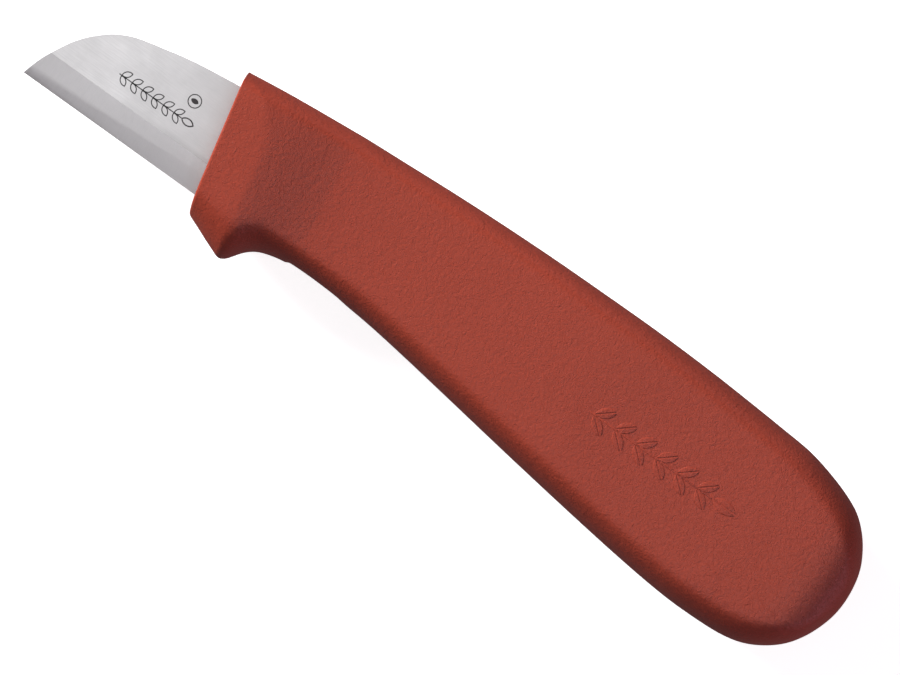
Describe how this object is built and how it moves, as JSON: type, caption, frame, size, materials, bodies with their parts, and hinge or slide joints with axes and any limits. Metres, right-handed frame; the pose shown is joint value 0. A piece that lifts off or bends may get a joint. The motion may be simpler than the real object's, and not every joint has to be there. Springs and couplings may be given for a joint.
{
  "type": "grafting knife",
  "caption": "Short fixed-blade grafting knife with a straight edge, a curved drop to the tip and a moulded one-piece handle with a finger guard and a rounded butt.",
  "frame": {"origin": "middle of the underside of the knife's box as it lies on its side", "axes": "+X along the cutting edge from the tip towards the butt, +Y from the edge towards the spine, +Z through the blade's thickness"},
  "size_m": [0.1464, 0.0318, 0.018],
  "materials": {
    "blade_steel": "fine-ground flats with a coarser ground bevel",
    "handle_plastic": "moulded red plastic with a fine leather-like grain"
  },
  "bodies": {
    "root": {"blade": "blade_steel", "handle": "handle_plastic"}
  },
  "joints": []
}
